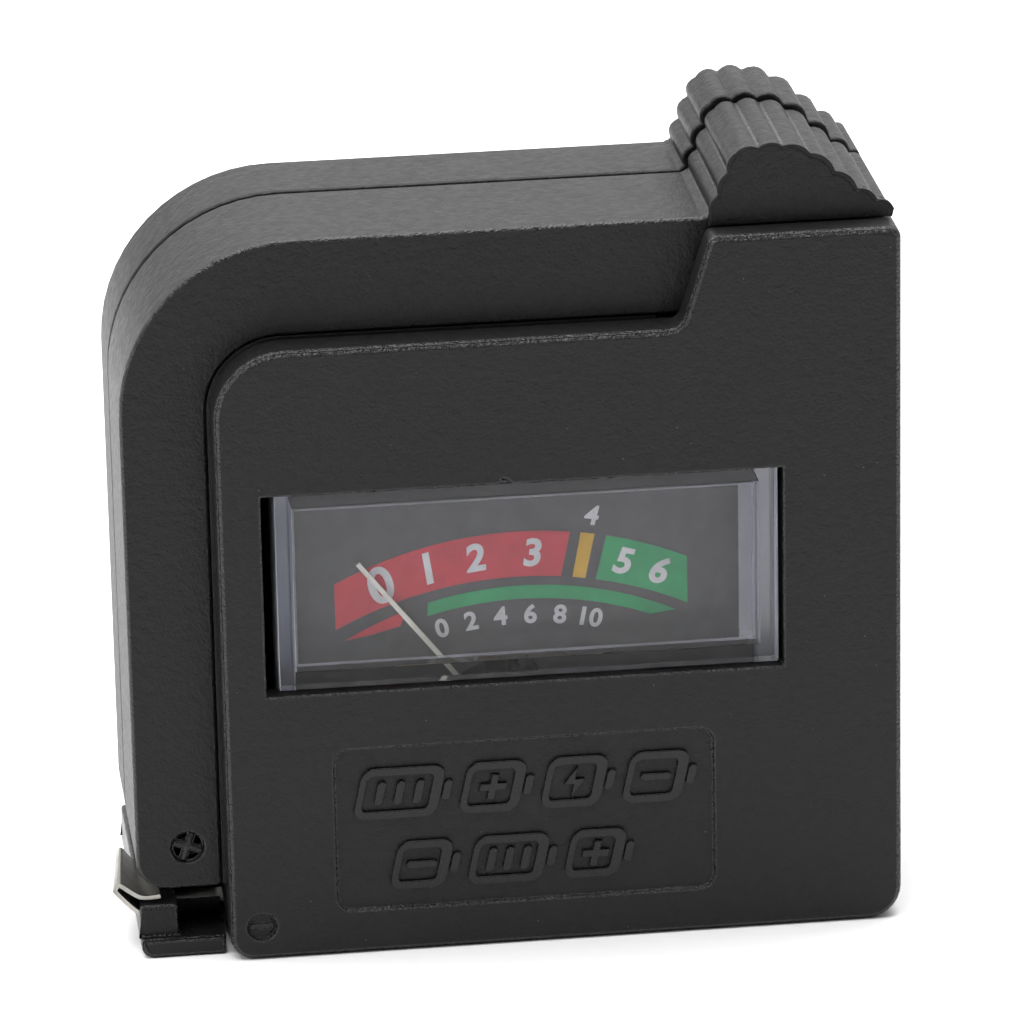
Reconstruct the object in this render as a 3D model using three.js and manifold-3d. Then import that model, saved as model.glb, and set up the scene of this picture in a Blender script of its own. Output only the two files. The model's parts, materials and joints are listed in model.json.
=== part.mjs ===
// Pocket battery tester: a moving-coil meter in a two-part cover, with a sliding contact arm
// that is drawn upward by a ribbed thumb grip. Millimetres, +Z up, the meter faces -Y, and the
// origin is under the middle of the object at the level it stands on.

import * as THREE from "three";
import { mergeVertices } from "three/addons/utils/BufferGeometryUtils.js";
import Module from "manifold-3d";

const wasm = await Module();
wasm.setup();

// ---- driving dimensions ------------------------------------------------------------------

// Body: x runs from the left edge of the raised panel, y from the middle, z from the bottom.
const PANEL_W = 48.5;
const LEFT_H = 45.65;
const RIGHT_H = 52.3;
const BODY_DEPTH = 24.0;
const STEP_FOOT = 15.6;
const STEP_HEAD = 13.5;
const CORNER_TOP_LEFT = 5.0;
const WALL = 1.4;
const PLATE = 1.8;
const PARTITION_T = 0.6;
const GAP = 0.3;
const CLOSE = 0.25;

// Arm: left leg, top bar, grip and the guide bar inside the body's right-hand column.
const ARM_DEPTH = 18.6;
const LEG_OUT = 6.4;
const LEG_BOTTOM = 4.75;
const BAR_OVER_STEP = 0.6;
const ARM_CORNER = 12.5;
const ARM_SEAM_Y = 1.95;
const ARM_SEAM_GAP = 0.44;
const ARM_WALL = 1.3;
const TRAVEL = 46.0;
const LUG_H = 1.2;
const LUG_OUT = 0.85;
const RAIL_W = 2.2;

// Meter and window. The meter's left side is METER_LEFT from the panel's left edge.
const METER_LEFT = 4.1;
const METER_W = 35.6;
const METER_Z0 = 8.0;
const METER_H = 26.9;
const METER_WALL = 1.0;
const TRAY_DEPTH = 0.3;
const METER_BACK_Y = 2.5;
const WINDOW_SIDE_GAP = 1.0;
const LENS_H = 14.65;
const LENS_WALL = 1.2;
const LENS_INSET = 0.5;
const DIAL_Y = -7.6;
const PIVOT_FROM_LEFT = 16.4;
const PIVOT_Z = 15.1;
const NEEDLE_TIP_GAP = 1.7;
const NEEDLE_REST_DEG = 38;
const YOKE_R = 5.3;
const CORE_R = 2.6;

// Foot and contacts.
const FOOT_OUT = 6.3;
const FOOT_PLATE_H = 1.4;
const FOOT_POST_H = 3.75;
const FOOT_BLOCK_H = 2.35;
const NOSE_OUT = 8.15;
const STRIP_T = 0.3;
const STRIP_W = 6.8;
const STRIP_FRONT_Y = -9.0;
const BLOCK_SPACING = 12.7;
const BLOCK_CONTACT_Z = 12.0;

// Derived.
const FRONT = -BODY_DEPTH / 2;
const BACK = BODY_DEPTH / 2;
const ARM_FRONT = -ARM_DEPTH / 2;
const ARM_BACK = ARM_DEPTH / 2;
const ARM_TOP = RIGHT_H + BAR_OVER_STEP;
const SLOT_FRONT = ARM_FRONT - GAP;
const SLOT_BACK = ARM_BACK + GAP;
const METER_X0 = METER_LEFT;
const METER_X1 = METER_LEFT + METER_W;
const METER_Z1 = METER_Z0 + METER_H;
const LENS_Z0 = METER_Z1 - LENS_H;
const LENS_FRONT = FRONT + LENS_INSET;
const WINDOW_X0 = METER_X0 - WINDOW_SIDE_GAP;
const WINDOW_X1 = METER_X1 + GAP;
const WINDOW_Z0 = LENS_Z0 - 0.2;
const WINDOW_Z1 = METER_Z1 + 0.1;
const PIVOT_X = METER_X0 + PIVOT_FROM_LEFT;
const NEEDLE_R = METER_Z1 - LENS_WALL - NEEDLE_TIP_GAP - PIVOT_Z;
const PARTITION_X0 = METER_X1 + CLOSE;
const COLUMN_X0 = PARTITION_X0 + PARTITION_T;
const COLUMN_X1 = PANEL_W - WALL;
const GUIDE_X0 = COLUMN_X0 + GAP;
const GUIDE_X1 = COLUMN_X1 - LUG_OUT - CLOSE;
const GUIDE_MID = (GUIDE_X0 + GUIDE_X1) / 2;
const GUIDE_BOTTOM = WALL + 2 * GAP;
const LIP_X = GUIDE_X1 + CLOSE;
const LIP_Z = GUIDE_BOTTOM + LUG_H + TRAVEL + 0.1;
const CENTRE_X = (PANEL_W - NOSE_OUT) / 2;

// ---- materials ---------------------------------------------------------------------------

const look = (color, roughness, metalness = 0) => ({ color, roughness, metalness });
const BLACK = look(0x303032, 0.62);
const GREY_PLASTIC = look(0x3a3a3d, 0.7);
const CLEAR = look(0xdfe2ec, 0.08);
const DIAL = look(0x3b3c40, 0.75);
const NICKEL = look(0xc9c7bf, 0.28, 1);
const STEEL = look(0x8f9296, 0.35, 1);
const BRASS = look(0xb08d4a, 0.35, 1);
const COPPER = look(0x9c5a34, 0.4, 1);
const IRON = look(0x4a4b4e, 0.5, 1);
const NEEDLE_WHITE = look(0xe9e6df, 0.6);
const RESISTOR = look(0xb9a58a, 0.65);
const RED_WIRE = look(0x9c2420, 0.55);
const BLACK_WIRE = look(0x1d1d1f, 0.55);

// ---- geometry helpers --------------------------------------------------------------------

// Polygon through [x, z, radius] corners, each corner rounded by an arc of its radius. A step
// is arcStep degrees at most, and short enough to stay within ARC_ERROR of a large radius.
const ARC_ERROR = 0.02;
function rounded(corners, arcStep = 15) {
  const out = [];
  const n = corners.length;
  for (let i = 0; i < n; i += 1) {
    const [x, z, r = 0] = corners[i];
    const here = new THREE.Vector2(x, z);
    const a = new THREE.Vector2(...corners[(i + n - 1) % n].slice(0, 2)).sub(here);
    const b = new THREE.Vector2(...corners[(i + 1) % n].slice(0, 2)).sub(here);
    const half = Math.acos(THREE.MathUtils.clamp(a.dot(b) / (a.length() * b.length()), -1, 1)) / 2;
    if (r <= 0.01 || half > Math.PI / 2 - 0.02) {
      out.push(here);
      continue;
    }
    const reach = r / Math.tan(half);
    const p = here.clone().addScaledVector(a.normalize(), reach);
    const q = here.clone().addScaledVector(b.normalize(), reach);
    const mid = a.clone().add(b).normalize();
    const centre = here.clone().addScaledVector(mid, r / Math.sin(half));
    const start = Math.atan2(p.y - centre.y, p.x - centre.x);
    let sweep = Math.atan2(q.y - centre.y, q.x - centre.x) - start;
    if (sweep > Math.PI) sweep -= 2 * Math.PI;
    if (sweep < -Math.PI) sweep += 2 * Math.PI;
    const fine = 2 * Math.acos(Math.max(0, 1 - ARC_ERROR / r));
    const step = Math.min(THREE.MathUtils.degToRad(arcStep), fine);
    const steps = Math.max(2, Math.ceil(Math.abs(sweep) / step));
    for (let k = 0; k <= steps; k += 1) {
      const t = start + (sweep * k) / steps;
      out.push(new THREE.Vector2(centre.x + r * Math.cos(t), centre.y + r * Math.sin(t)));
    }
  }
  return out;
}

// Band of constant thickness along an open run of [x, z] points.
function band(points, thickness) {
  const line = points.map(([x, z]) => new THREE.Vector2(x, z));
  const left = [];
  const right = [];
  line.forEach((p, i) => {
    const before = i > 0 ? p.clone().sub(line[i - 1]).normalize() : null;
    const after = i < line.length - 1 ? line[i + 1].clone().sub(p).normalize() : null;
    const dir = (before ?? after).clone().add(after ?? before).normalize();
    const normal = new THREE.Vector2(-dir.y, dir.x);
    const cosine = before && after ? normal.dot(new THREE.Vector2(-after.y, after.x)) : 1;
    const half = thickness / 2 / Math.max(cosine, 0.5);
    left.push(p.clone().addScaledVector(normal, half));
    right.unshift(p.clone().addScaledVector(normal, -half));
  });
  return [...left, ...right];
}

// Solid with an XZ outline between two y planes, with an optional chamfer at both ends.
function prism(outline, y0, y1, chamfer = 0, segments = 2) {
  const shape = new THREE.Shape(outline);
  const geometry = new THREE.ExtrudeGeometry(shape, {
    depth: y1 - y0 - 2 * chamfer,
    steps: 1,
    bevelEnabled: chamfer > 0,
    bevelThickness: chamfer,
    bevelSize: chamfer,
    bevelOffset: -chamfer,
    bevelSegments: segments,
  });
  geometry.rotateX(Math.PI / 2);
  geometry.translate(0, y1 - chamfer, 0);
  return geometry;
}

function box(x0, x1, y0, y1, z0, z1) {
  const geometry = new THREE.BoxGeometry(x1 - x0, y1 - y0, z1 - z0);
  geometry.translate((x0 + x1) / 2, (y0 + y1) / 2, (z0 + z1) / 2);
  return geometry;
}

// Solid with a YZ outline between two x planes.
function prismX(outline, x0, x1) {
  const geometry = prism(outline, x0, x1);
  const p = geometry.getAttribute("position");
  for (let i = 0; i < p.count; i += 1) {
    p.setXYZ(i, x0 + x1 - p.getY(i), p.getX(i), p.getZ(i));
  }
  return geometry;
}

// Cylinder along Y.
function rod(x, z, r, y0, y1, sides = 24) {
  const geometry = new THREE.CylinderGeometry(r, r, y1 - y0, sides);
  geometry.translate(x, (y0 + y1) / 2, z);
  return geometry;
}

// Cylinder along X.
function barX(y, z, r, x0, x1, sides = 20) {
  const geometry = new THREE.CylinderGeometry(r, r, x1 - x0, sides);
  geometry.rotateZ(Math.PI / 2);
  geometry.translate((x0 + x1) / 2, y, z);
  return geometry;
}

function solid(geometry) {
  const plain = new THREE.BufferGeometry();
  plain.setAttribute("position", geometry.getAttribute("position").clone());
  if (geometry.index) plain.setIndex(geometry.index.clone());
  const merged = mergeVertices(plain, 1e-4);
  return new wasm.Manifold(
    new wasm.Mesh({
      numProp: 3,
      vertProperties: new Float32Array(merged.getAttribute("position").array),
      triVerts: new Uint32Array(merged.index.array),
    }),
  );
}

function geometryOf(manifold) {
  const mesh = manifold.getMesh();
  const geometry = new THREE.BufferGeometry();
  geometry.setAttribute("position", new THREE.BufferAttribute(new Float32Array(mesh.vertProperties), 3));
  geometry.setIndex(new THREE.BufferAttribute(new Uint32Array(mesh.triVerts), 1));
  geometry.computeVertexNormals();
  return geometry;
}

function join(first, ...rest) {
  return rest.reduce((sum, g) => sum.add(solid(g)), first.add ? first : solid(first));
}

function cut(first, ...rest) {
  return rest.reduce((left, g) => left.subtract(solid(g)), first.add ? first : solid(first));
}

const tester = new THREE.Group();
const model = new THREE.Group();
model.position.x = -CENTRE_X;
tester.add(model);

function place(name, shape, style, parent = model) {
  const geometry = shape.getMesh ? geometryOf(shape) : shape;
  const mesh = new THREE.Mesh(geometry, new THREE.MeshStandardMaterial(style));
  mesh.name = name;
  parent.add(mesh);
  return mesh;
}

// ---- outlines ----------------------------------------------------------------------------

const stepRun = (STEP_FOOT - STEP_HEAD) / (RIGHT_H - LEFT_H);
const stepSlant = Math.hypot(1, stepRun);
const stepX = (z, offset) => PANEL_W - STEP_FOOT + (z - LEFT_H) * stepRun + offset * stepSlant;

function bodyOutline(inset) {
  const top = RIGHT_H - inset;
  const shelf = LEFT_H - inset;
  const r = (radius) => Math.max(radius - inset, 0.3);
  return rounded([
    [inset, inset, r(1.6)],
    [PANEL_W - inset, inset, r(2.4)],
    [PANEL_W - inset, top, r(0.9)],
    [stepX(top, inset), top, r(0.7)],
    [stepX(shelf, inset), shelf, 1.3 + inset],
    [inset, shelf, r(CORNER_TOP_LEFT)],
  ]);
}

// Ribs of the thumb grip: notch points [back from the panel's right edge, up from the grip's
// underside], from right to left, with a convex rib on each span between them.
const GRIP_NOTCHES = [
  [0.5, 0.5],
  [1.55, 1.05],
  [2.95, 1.9],
  [4.45, 3.15],
  [6.1, 4.5],
  [7.95, 5.15],
  [9.65, 5.15],
  [11.2, 4.85],
  [11.75, 3.5],
  [12.4, 1.95],
  [13.0, 0.6],
].map(([dx, dz]) => [PANEL_W - dx, RIGHT_H + GAP + dz]);

function ribs(swell) {
  const centre = new THREE.Vector2(PANEL_W - 6.5, RIGHT_H + 1.2);
  const notch = GRIP_NOTCHES.map(([x, z], i) => {
    const p = new THREE.Vector2(x, z);
    return i === 0 ? p : p.addScaledVector(p.clone().sub(centre).normalize(), swell);
  });
  const points = [];
  for (let i = 0; i < notch.length - 1; i += 1) {
    const chord = notch[i + 1].clone().sub(notch[i]);
    const out = new THREE.Vector2(chord.y, -chord.x).normalize();
    const height = chord.length() * 0.24;
    for (let k = 0; k < 5; k += 1) {
      const t = k / 5;
      const bulge = height * 4 * t * (1 - t);
      points.push([
        notch[i].x + chord.x * t + out.x * bulge,
        notch[i].y + chord.y * t + out.y * bulge,
      ]);
    }
  }
  points.push([notch.at(-1).x, notch.at(-1).y]);
  return points;
}

function armOutline(swell) {
  const under = LEFT_H + GAP;
  const over = RIGHT_H + GAP;
  return rounded([
    [-LEG_OUT, LEG_BOTTOM, 2.2],
    [-GAP, LEG_BOTTOM, 0.4],
    [-GAP, under, CORNER_TOP_LEFT + GAP],
    [GUIDE_X0, under, 0.5],
    [GUIDE_X0, GUIDE_BOTTOM, 0.5],
    [GUIDE_X1, GUIDE_BOTTOM, 0.5],
    [GUIDE_X1, over, 0],
    [GRIP_NOTCHES[0][0], over, 0],
    ...ribs(swell),
    [PANEL_W - 13.6, ARM_TOP, 0.5],
    [-LEG_OUT, ARM_TOP, ARM_CORNER],
  ]);
}

function armHollow() {
  const w = ARM_WALL;
  const under = LEFT_H + GAP + w;
  const over = RIGHT_H + GAP;
  return rounded([
    [-LEG_OUT + w, LEG_BOTTOM - 1, 0],
    [-GAP - w, LEG_BOTTOM - 1, 0],
    [-GAP - w, under, CORNER_TOP_LEFT + GAP + w],
    [GUIDE_X0 + w, under, 0],
    [GUIDE_X0 + w, GUIDE_BOTTOM + w, 0],
    [GUIDE_X1 - w, GUIDE_BOTTOM + w, 0],
    [GUIDE_X1 - w, over - 0.4, 0],
    [PANEL_W - 6.5, over + 3.1, 0.8],
    [PANEL_W - 10.3, over + 3.5, 0.8],
    [PANEL_W - 11.6, ARM_TOP - w, 0],
    [-LEG_OUT + w, ARM_TOP - w, ARM_CORNER - w],
  ]);
}

// ---- covers ------------------------------------------------------------------------------

const SCREW_BOSS = 2.9;
const LOW_SCREW_Z = WALL + 0.45 + SCREW_BOSS;
const SCREWS = {
  screw_lower_left: [METER_X0 + 4.9, LOW_SCREW_Z],
  screw_lower_right: [METER_X1 - 6.2, LOW_SCREW_Z],
  screw_upper: [PIVOT_X - 0.3, METER_Z1 + (LEFT_H - METER_Z1) / 2],
};
const FAR = 80;

// Room inside a cover: the main chamber, the guide column, and the slot the arm's top bar fills.
function coverHollow(y0, y1, slotY0, slotY1) {
  const chamber = rounded([
    [WALL, WALL, 0.4],
    [PARTITION_X0, WALL, 0.4],
    [PARTITION_X0, LEFT_H - WALL, 0.4],
    [WALL, LEFT_H - WALL, CORNER_TOP_LEFT - WALL],
  ]);
  return join(
    prism(chamber, y0, y1),
    box(COLUMN_X0, COLUMN_X1, slotY0, slotY1, WALL, LIP_Z),
    box(COLUMN_X0, LIP_X, slotY0, slotY1, LIP_Z - 0.5, FAR),
    box(-FAR, COLUMN_X0 + 0.5, slotY0, slotY1, LEFT_H, FAR),
  );
}

const railHalf = RAIL_W / 2;
const railSide = railHalf + 0.1;
const railBack = SLOT_FRONT - 0.06 - STRIP_T;
const railFoot = WALL + 0.55;
const railLow = railFoot - 0.15;
const tailY = STRIP_FRONT_Y + 4.0;
const tailZ = Math.max(FOOT_PLATE_H, WALL) + 0.4;

// Front cover: raised panel with the window, walls back to the middle seam, screw bosses.
let front = solid(prism(bodyOutline(0), FRONT, 6, 0.5, 3)).intersect(
  solid(box(-FAR, FAR, -FAR, -0.05, -FAR, FAR)),
);
front = front.subtract(coverHollow(FRONT + PLATE, 3, SLOT_FRONT, 3));
front = cut(
  front,
  box(WINDOW_X0, WINDOW_X1, FRONT - 1, FRONT + PLATE + 1, WINDOW_Z0, WINDOW_Z1),
  rod(PIVOT_X - 0.2, WINDOW_Z1, 0.4, FRONT - 1, FRONT + 0.7, 12),
  box(GUIDE_MID - railSide, GUIDE_MID + railSide, railBack - 0.04, SLOT_FRONT + 1, railLow, RIGHT_H - 0.9),
  box(PARTITION_X0 - 4, GUIDE_MID, railBack - 0.04, SLOT_FRONT + 0.2, railLow, railFoot + 1.65),
  box(-1, WALL + 1, tailY - 0.2, tailY + 2.2, tailZ - 0.3, tailZ + STRIP_T + 0.3),
);
for (const [x, z] of Object.values(SCREWS)) {
  front = join(front, rod(x, z, SCREW_BOSS - 0.6, FRONT + PLATE - 0.2, -0.3));
  front = cut(front, rod(x, z, 0.98, -8.4, 2, 16));
}
// Polarity recess with its bar, near the lower left corner.
front = cut(front, rod(2.25, 2.5, 1.05, FRONT - 1, FRONT + 0.35, 24));
front = join(front, box(1.4, 3.1, FRONT + 0.1, FRONT + 0.5, 2.28, 2.72));
// Shallow tray moulded into the panel under the window, for its raised marks.
const trayX = [METER_X0 + 3.6, METER_X1 - 4.8];
const trayZ = [LENS_Z0 - 16.95, LENS_Z0 - 4.55];
const trayOutline = rounded([
  [trayX[0], trayZ[0], 1.1],
  [trayX[1], trayZ[0], 1.1],
  [trayX[1], trayZ[1], 1.1],
  [trayX[0], trayZ[1], 1.1],
], 30);
front = cut(front, prism(trayOutline, FRONT - 0.5, FRONT + TRAY_DEPTH));
place("front_cover", front, BLACK);

// Back cover: mirrored panel, screw wells, and the foot that carries the lower contact.
let back = solid(prism(bodyOutline(0), -6, BACK, 0.5, 3)).intersect(
  solid(box(-FAR, FAR, 0.05, FAR, -FAR, FAR)),
);
back = back.subtract(coverHollow(-3, BACK - PLATE, -3, SLOT_BACK));
for (const [x, z] of Object.values(SCREWS)) {
  back = join(back, rod(x, z, SCREW_BOSS, 0.3, BACK - PLATE + 0.2));
  back = cut(back, rod(x, z, 2.3, 4.0, BACK + 1), rod(x, z, 1.1, -1, 5, 16));
}
// A rib that keys the guide bar sideways.
back = join(
  back,
  box(GUIDE_MID - 0.6, GUIDE_MID + 0.6, ARM_BACK - 0.8, SLOT_BACK + 0.5, WALL - 0.4, RIGHT_H - 0.4),
);
// Hairpin strip: flat over the foot, up to a rounded nose, back down and into the foot's slot.
const sheetZ = FOOT_POST_H + 0.24 + STRIP_T / 2;
const sheetX = -FOOT_OUT - 0.02 - STRIP_T / 2;
const noseX = -NOSE_OUT + STRIP_T / 2 - 0.02;
const tailX = -FOOT_OUT + 0.75;
const tailPath = [
  [sheetX - 0.15, sheetZ - 0.94],
  [tailX, sheetZ - 1.64],
  [tailX, tailZ],
];
const stripPath = [
  [sheetX + 1.72, sheetZ],
  [sheetX + 0.32, sheetZ],
  [noseX + 0.34, sheetZ + 0.99],
  [noseX + 0.12, sheetZ + 0.99],
  [noseX, sheetZ + 0.76],
  [noseX + 0.08, sheetZ + 0.46],
  ...tailPath,
];
const slotPath = [...tailPath.slice(0, 2), [tailX, tailZ - 0.08]];
const footSide = -CLOSE;
const footPlate = rounded([
  [-FOOT_OUT, 0, 0.8], [footSide, 0, 0], [footSide, FOOT_PLATE_H, 0], [-FOOT_OUT, FOOT_PLATE_H, 0.2],
]);
const footPost = rounded([
  [-FOOT_OUT, 0.8, 0],
  [-FOOT_OUT + 2.7, 0.8, 0],
  [-FOOT_OUT + 2.7, FOOT_POST_H, 0.15],
  [-FOOT_OUT, FOOT_POST_H, 0.25],
]);
let foot = join(
  prism(footPlate, ARM_FRONT - 1.2, ARM_BACK + 1.2, 0.15, 1),
  prism(footPost, ARM_FRONT - 0.4, ARM_BACK + 0.4),
  box(-FOOT_OUT + 2.6, footSide, ARM_FRONT + 3.8, ARM_BACK + 0.4, 0.5, FOOT_BLOCK_H),
  box(-2, WALL - 0.2, 0.4, ARM_BACK + 0.4, 0.3, FOOT_BLOCK_H),
);
foot = cut(
  foot,
  box(tailX, 1, tailY - 0.3, tailY + 2.3, tailZ - 0.3, Math.max(tailZ + STRIP_T + 0.3, FOOT_BLOCK_H + 0.1)),
  prism(band(slotPath, STRIP_T + 0.14), STRIP_FRONT_Y - 0.07, STRIP_FRONT_Y + STRIP_W + 0.07),
);
back = back.add(foot);
const blockZ = [BLOCK_CONTACT_Z, BLOCK_CONTACT_Z + BLOCK_SPACING];
back = cut(
  back,
  ...blockZ.flatMap((z) => [
    box(PANEL_W - 0.7, PANEL_W + 1, 2.0, 7.0, z - 2.8, z + 2.8),
    barX(4.5, z, 0.95, COLUMN_X1 - 0.5, PANEL_W + 1, 16),
  ]),
);
place("back_cover", back, BLACK);

for (const [name, [x, z]] of Object.entries(SCREWS)) {
  let screw = join(rod(x, z, 2.05, 4.05, 5.35), rod(x, z, 0.9, -7.6, 4.2, 16));
  screw = cut(screw, box(x - 1.2, x + 1.2, 4.7, 6, z - 0.22, z + 0.22));
  screw = cut(screw, box(x - 0.22, x + 0.22, 4.7, 6, z - 1.2, z + 1.2));
  place(name, screw, STEEL);
}

// ---- sliding arm -------------------------------------------------------------------------

const arm = new THREE.Group();
model.add(arm);

let armFront = solid(prism(armOutline(0), ARM_FRONT, ARM_SEAM_Y - ARM_SEAM_GAP / 2, 0.25, 2));
armFront = cut(armFront, prism(armHollow(), ARM_FRONT + ARM_WALL, 20));
const wiperSlot = [GUIDE_BOTTOM + 3, GUIDE_BOTTOM + 11.6];
armFront = cut(
  armFront,
  box(GUIDE_MID - 0.95, GUIDE_MID + 0.95, ARM_FRONT - 1, ARM_FRONT + 2, ...wiperSlot),
);
armFront = join(
  armFront,
  box(GUIDE_X1 - 0.5, GUIDE_X1 + LUG_OUT, ARM_FRONT + 0.3, -2, GUIDE_BOTTOM, GUIDE_BOTTOM + LUG_H),
);
// Polarity recess with a turned cross, low on the leg.
const markX = -2.7;
const markZ = LEG_BOTTOM + 3.15;
armFront = cut(armFront, rod(markX, markZ, 1.2, ARM_FRONT - 1, ARM_FRONT + 0.4, 24));
for (const turn of [0.35, 0.35 + Math.PI / 2]) {
  const bar = new THREE.BoxGeometry(2.2, 0.35, 0.36);
  bar.rotateY(turn);
  bar.translate(markX, ARM_FRONT + 0.3, markZ);
  armFront = join(armFront, bar);
}
place("arm_front_shell", armFront, BLACK, arm);

let armRear = solid(prism(armOutline(0.28), ARM_SEAM_Y + ARM_SEAM_GAP / 2, ARM_BACK, 0.25, 2));
armRear = cut(armRear, prism(armHollow(), -20, ARM_BACK - ARM_WALL));
armRear = cut(
  armRear,
  box(GUIDE_MID - 0.8, GUIDE_MID + 0.8, ARM_BACK - 1.0, ARM_BACK + 1, 0, RIGHT_H + GAP),
);
place("arm_rear_shell", armRear, BLACK, arm);

// Leaf under the leg's open end: its limbs stand just inside the leg's two walls.
const limbL = -LEG_OUT + ARM_WALL + 0.3 + STRIP_T / 2;
const limbR = -GAP - ARM_WALL - 0.3 - STRIP_T / 2;
const crownZ = LEG_BOTTOM - 0.32 + STRIP_T / 2;
const leafOutline = band(
  [
    [limbL, crownZ + 3.6], [limbL, crownZ + 0.9], [limbL + 0.3, crownZ + 0.14], [limbL + 0.65, crownZ],
    [limbR - 0.8, crownZ], [limbR - 0.4, crownZ + 0.17], [limbR, crownZ + 0.8], [limbR, crownZ + 7.9],
  ],
  STRIP_T,
);
const innerY = ARM_FRONT + ARM_WALL + 0.4;
place("positive_contact", prism(leafOutline, innerY, innerY + 5.0), NICKEL, arm);

const legMid = (-LEG_OUT - GAP) / 2;
const barMid = (LEFT_H + GAP + ARM_TOP) / 2;
const busLine = rounded([
  [limbR - STRIP_T - 0.05, crownZ + 5.9, 0], [legMid, crownZ + 9.9, 2], [legMid, barMid, 8.5],
  [GUIDE_MID, barMid, 2.0], [GUIDE_MID, GUIDE_BOTTOM + 4.2, 0],
], 12).map((p) => [p.x, p.y]);
place("arm_conductor", prism(band(busLine, STRIP_T), innerY + 0.3, innerY + 4.2), NICKEL, arm);

// Leaf that reaches out through the guide bar's front to press on the rail.
const wiperSide = [
  [innerY + 0.1, 13.0], [innerY, 11.0], [innerY - 1.3, 8.6], [SLOT_FRONT + 0.18, 7.2],
  [innerY - 1.3, 5.8], [innerY - 0.6, 4.4],
].map(([y, up]) => [y, GUIDE_BOTTOM + up]);
place("wiper", prismX(band(wiperSide, 0.22), GUIDE_MID - 0.75, GUIDE_MID + 0.75), NICKEL, arm);

// ---- contacts on the body ----------------------------------------------------------------

const hairpin = band(stripPath, STRIP_T);
let lower = solid(prism(hairpin, STRIP_FRONT_Y, STRIP_FRONT_Y + STRIP_W));
lower = join(
  lower,
  box(tailX - STRIP_T / 2, WALL + 2.4, tailY, tailY + 2, tailZ, tailZ + 0.8 * STRIP_T),
);
place("negative_contact", lower, NICKEL);

for (const [i, name] of ["nine_volt_contact_lower", "nine_volt_contact_upper"].entries()) {
  const plate = join(
    box(PANEL_W - 0.55, PANEL_W - 0.1, 2.3, 6.7, blockZ[i] - 2.5, blockZ[i] + 2.5),
    barX(4.5, blockZ[i], 0.85, COLUMN_X1 - 0.6, PANEL_W - 0.3, 16),
  );
  place(name, plate, NICKEL);
}

const rail = join(
  box(GUIDE_MID - railHalf, GUIDE_MID + railHalf, railBack, railBack + STRIP_T, railFoot, RIGHT_H - 1.2),
  box(PARTITION_X0 - 3.55, GUIDE_MID, railBack, railBack + STRIP_T, railFoot, railFoot + 1.45),
);
place("contact_rail", rail, NICKEL);

// ---- meter -------------------------------------------------------------------------------

const shoulderY = FRONT + PLATE + 0.3;
const coverY = -6.5;
let windowBox = join(
  box(METER_X0, METER_X1, shoulderY, coverY - 0.1, METER_Z0, METER_Z1),
  box(METER_X0, METER_X1, LENS_FRONT, shoulderY + 0.4, LENS_Z0, METER_Z1),
);
windowBox = cut(
  windowBox,
  box(
    METER_X0 + LENS_WALL, METER_X1 - LENS_WALL, shoulderY + 0.8, coverY + 1,
    METER_Z0 + LENS_WALL, METER_Z1 - LENS_WALL,
  ),
  box(
    METER_X0 + LENS_WALL, METER_X1 - LENS_WALL, LENS_FRONT + 0.9, shoulderY + 1,
    LENS_Z0 + 1.05, METER_Z1 - LENS_WALL,
  ),
);
place("meter_window", windowBox, CLEAR);

const floorY = METER_BACK_Y - METER_WALL;
const postX = [METER_X0 + 4.4, METER_X1 - 4.7];
const postZ = [LENS_Z0 - 0.75, METER_Z1 - 3.9];
const terminalX = [PIVOT_X - 9.5, PIVOT_X + 9.5];
const terminalZ = METER_Z0 + 4;
const bridgeHalf = YOKE_R + 2.2;
let meterCase = cut(
  box(METER_X0, METER_X1, coverY, METER_BACK_Y, METER_Z0, METER_Z1),
  box(
    METER_X0 + METER_WALL, METER_X1 - METER_WALL, coverY - 1, floorY,
    METER_Z0 + METER_WALL, METER_Z1 - METER_WALL,
  ),
);
meterCase = join(
  meterCase,
  ...postX.flatMap((x) => postZ.map((z) => rod(x, z, 1.0, DIAL_Y + 0.35, METER_BACK_Y - 0.5, 16))),
  box(PIVOT_X - bridgeHalf, PIVOT_X - bridgeHalf + 1.6, -6.46, floorY + 0.5, PIVOT_Z - 1.1, PIVOT_Z + 1.1),
  box(PIVOT_X + bridgeHalf - 1.6, PIVOT_X + bridgeHalf, -6.46, floorY + 0.5, PIVOT_Z - 1.1, PIVOT_Z + 1.1),
);
meterCase = cut(
  meterCase,
  rod(PIVOT_X, PIVOT_Z, 0.86, floorY - 0.5, METER_BACK_Y + 0.5, 16),
  ...terminalX.map((x) => rod(x, terminalZ, 0.56, floorY - 0.5, METER_BACK_Y + 0.5, 16)),
);
place("meter_case", meterCase, GREY_PLASTIC);

const dialEdge = LENS_WALL + 0.1;
const dial = cut(
  box(METER_X0 + dialEdge, METER_X1 - dialEdge, DIAL_Y, DIAL_Y + 0.3, LENS_Z0 - 2.85, METER_Z1 - dialEdge),
  rod(PIVOT_X, PIVOT_Z, 5.4, DIAL_Y - 1, DIAL_Y + 1, 48),
);
place("dial_plate", dial, DIAL);

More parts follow.
